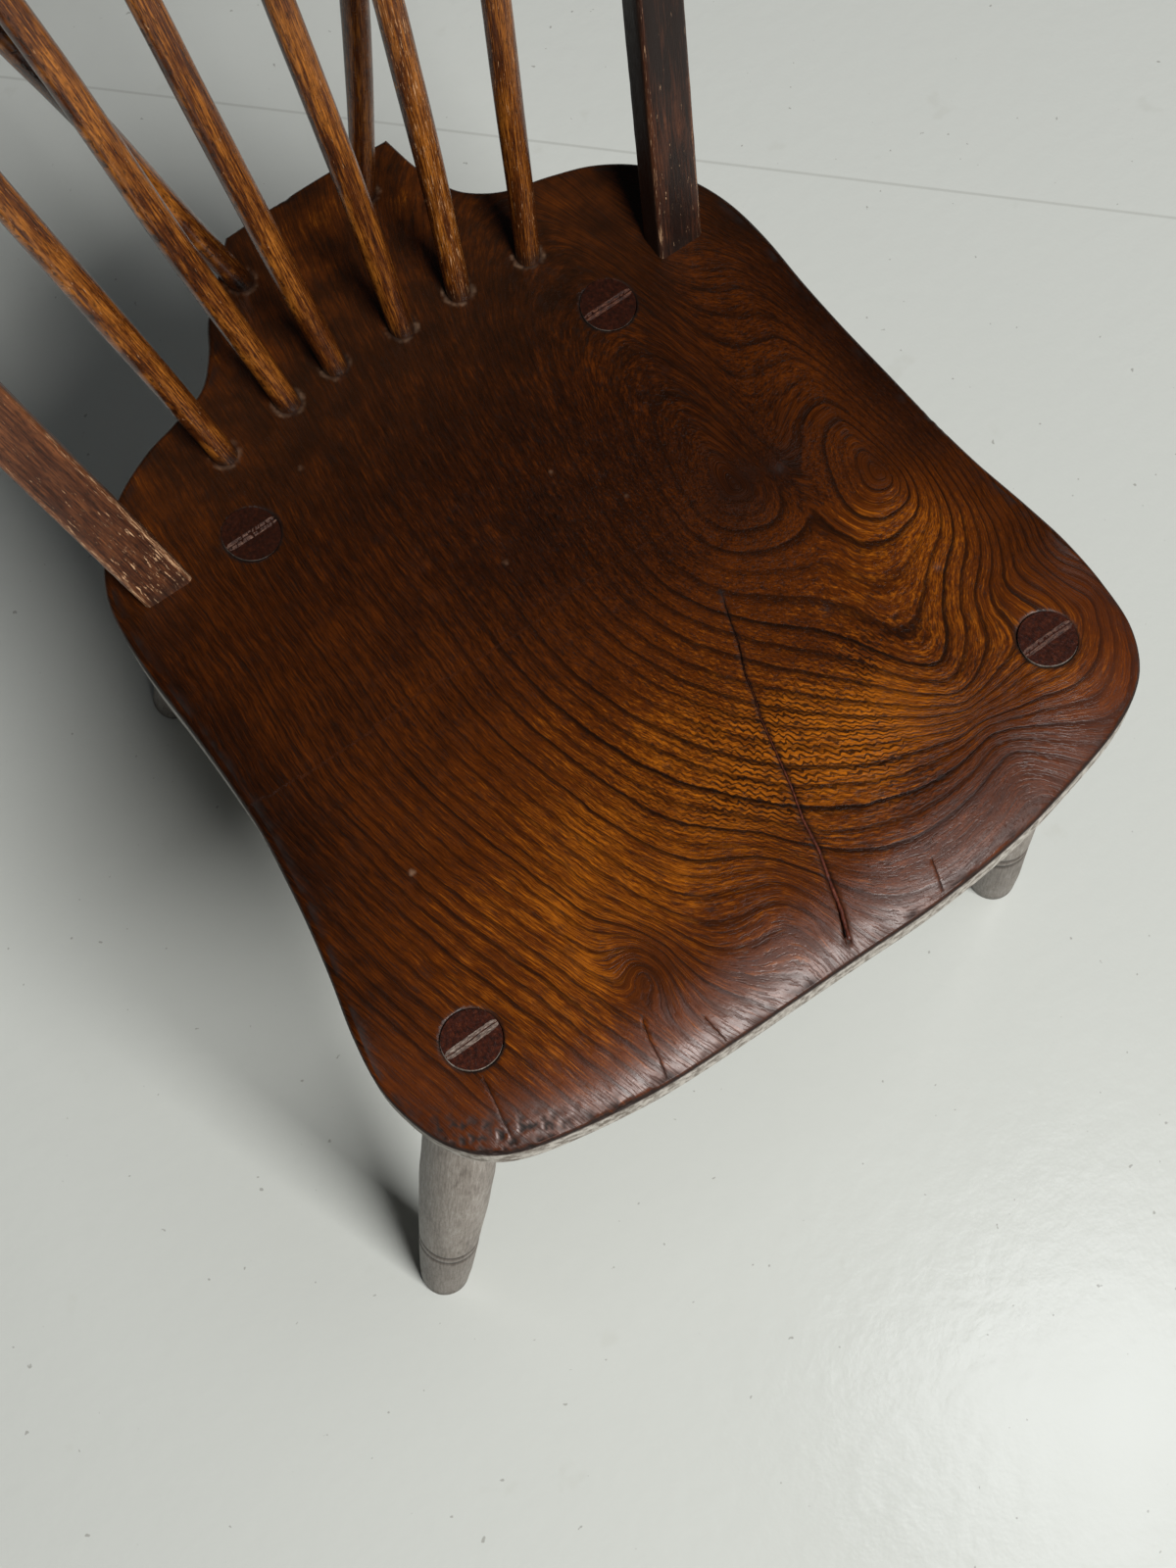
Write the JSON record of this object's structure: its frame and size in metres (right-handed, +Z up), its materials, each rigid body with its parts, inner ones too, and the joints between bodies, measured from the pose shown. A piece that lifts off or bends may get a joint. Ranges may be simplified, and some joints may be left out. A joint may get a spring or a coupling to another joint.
{
  "type": "windsor side chair",
  "caption": "Bow-back wooden side chair with a shaped solid seat, bobtail, braced round back sticks and splayed turned legs, dark worn finish.",
  "frame": {"origin": "on the floor, below the middle of the chair's box seen from above", "axes": "+Z up, -Y towards the front edge of the seat, +X to the right of someone who looks at the chair from the front"},
  "size_m": [0.4346, 0.5006, 0.9191],
  "materials": {
    "seat_elm": "dark wax over old varnish, rubbed to orange brown in front, glossy front edge",
    "leg_wood": "worn, greyed satin",
    "bow_wood": "dark finish flaked to pale wood at the ends",
    "stick_wood": "worn varnish with fine flaked streaks",
    "wedge_wood": "dry greyed end grain",
    "crack_filler": "dark reddish filler",
    "nail_iron": "worn bright head"
  },
  "bodies": {
    "root": {"seat": "seat_elm", "leg_front_left": "leg_wood", "leg_front_right": "leg_wood", "leg_rear_left": "leg_wood", "leg_rear_right": "leg_wood", "wedge_front_left": "wedge_wood", "wedge_front_right": "wedge_wood", "wedge_rear_left": "wedge_wood", "wedge_rear_right": "wedge_wood", "bow": "bow_wood", "stick_1": "stick_wood", "stick_2": "stick_wood", "stick_3": "stick_wood", "stick_4": "stick_wood", "stick_5": "stick_wood", "stick_6": "stick_wood", "brace_left": "stick_wood", "brace_right": "stick_wood", "crack_filler": "crack_filler", "nail": "nail_iron"}
  },
  "joints": []
}
